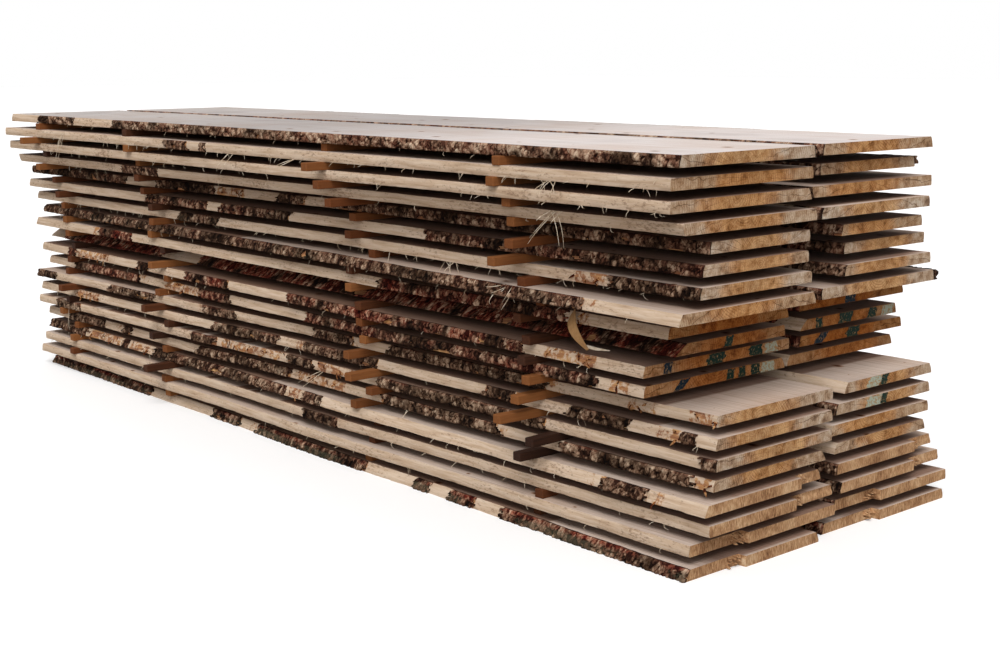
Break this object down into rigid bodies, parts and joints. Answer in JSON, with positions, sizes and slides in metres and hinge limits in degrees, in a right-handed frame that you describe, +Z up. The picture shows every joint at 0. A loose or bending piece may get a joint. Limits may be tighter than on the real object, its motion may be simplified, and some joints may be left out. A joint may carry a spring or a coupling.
{
  "type": "stack of lumber",
  "caption": "Air-drying stack of unedged softwood boards with waney, part-barked edges, laid in two columns on cross stickers.",
  "frame": {"origin": "on the floor under the middle of the stack's bounding box", "axes": "+X along the boards to the butt ends, +Y across from the near column to the far column, +Z up"},
  "size_m": [4.04, 1.41, 1.153],
  "materials": {
    "board": "rough sawn, bare",
    "sticker": "rough sawn, weathered"
  },
  "bodies": {
    "root": {"near_board_01": "board", "near_board_02": "board", "near_board_03": "board", "near_board_04": "board", "near_board_05": "board", "near_board_06": "board", "near_board_07": "board", "near_board_08": "board", "near_board_09": "board", "near_board_10": "board", "near_board_11": "board", "near_board_12": "board", "near_board_13": "board", "near_board_14": "board", "near_board_15": "board", "near_board_16": "board", "near_board_17": "board", "near_board_18": "board", "near_board_19": "board", "near_board_20": "board", "far_board_01": "board", "far_board_02": "board", "far_board_03": "board", "far_board_04": "board", "far_board_05": "board", "far_board_06": "board", "far_board_07": "board", "far_board_08": "board", "far_board_09": "board", "far_board_10": "board", "far_board_11": "board", "far_board_12": "board", "far_board_13": "board", "far_board_14": "board", "far_board_15": "board", "far_board_16": "board", "far_board_17": "board", "far_board_18": "board", "far_board_19": "board", "far_board_20": "board", "stickers_1": "sticker", "stickers_2": "sticker", "stickers_3": "sticker", "stickers_4": "sticker"}
  },
  "joints": []
}
